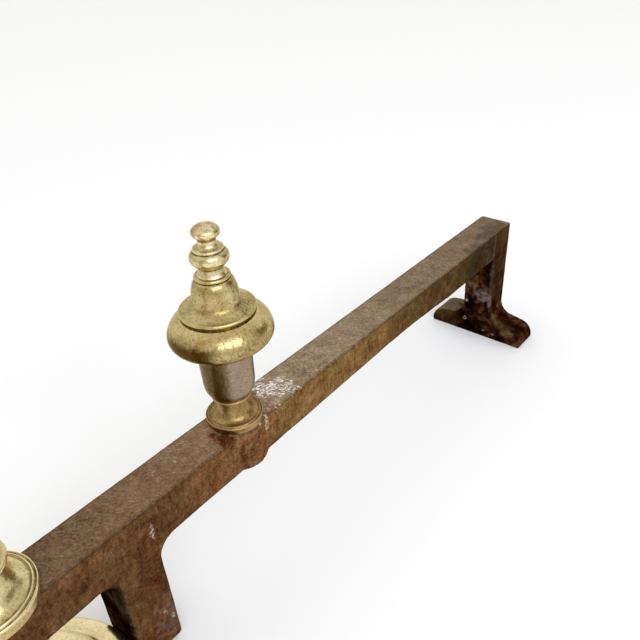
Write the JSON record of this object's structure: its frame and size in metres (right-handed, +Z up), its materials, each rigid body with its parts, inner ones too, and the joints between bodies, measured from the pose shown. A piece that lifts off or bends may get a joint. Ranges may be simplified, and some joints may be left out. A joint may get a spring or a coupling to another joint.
{
  "type": "andiron",
  "caption": "Andiron with an iron log bar on a drop leg and an inverted T rear foot, a turned brass log stop on the bar, and a turned brass column on a round base at the front.",
  "frame": {"origin": "on the hearth, under the middle of the andiron's length and width", "axes": "+Y along the bar from the brass column at the front to the iron foot at the rear, +Z up, +X to the right seen from the front"},
  "size_m": [0.105, 0.538, 0.3955],
  "materials": {
    "iron": "old sand-cast iron, brown with rust and soot",
    "brass": "aged turned brass with tarnish in the grooves",
    "rod_iron": "dark wrought iron, lightly oiled"
  },
  "bodies": {
    "root": {"billet_casting": "iron", "log_stop_stud": "rod_iron", "log_stop_pedestal": "brass", "log_stop_ring": "brass", "log_stop_cup": "brass", "log_stop_ball": "brass", "log_stop_bell": "brass", "log_stop_knop": "brass", "log_stop_button": "brass", "front_base": "brass", "base_ring": "brass", "lower_baluster": "brass", "column_pedestal": "brass", "column_bead": "brass", "column_vase": "brass", "column_collar": "brass", "column_spool": "brass", "column_cup": "brass", "column_ball": "brass", "column_bell": "brass", "column_knop": "brass", "column_button": "brass", "tie_rod": "rod_iron", "tie_rod_nut": "rod_iron", "tie_rod_washer": "rod_iron"}
  },
  "joints": []
}
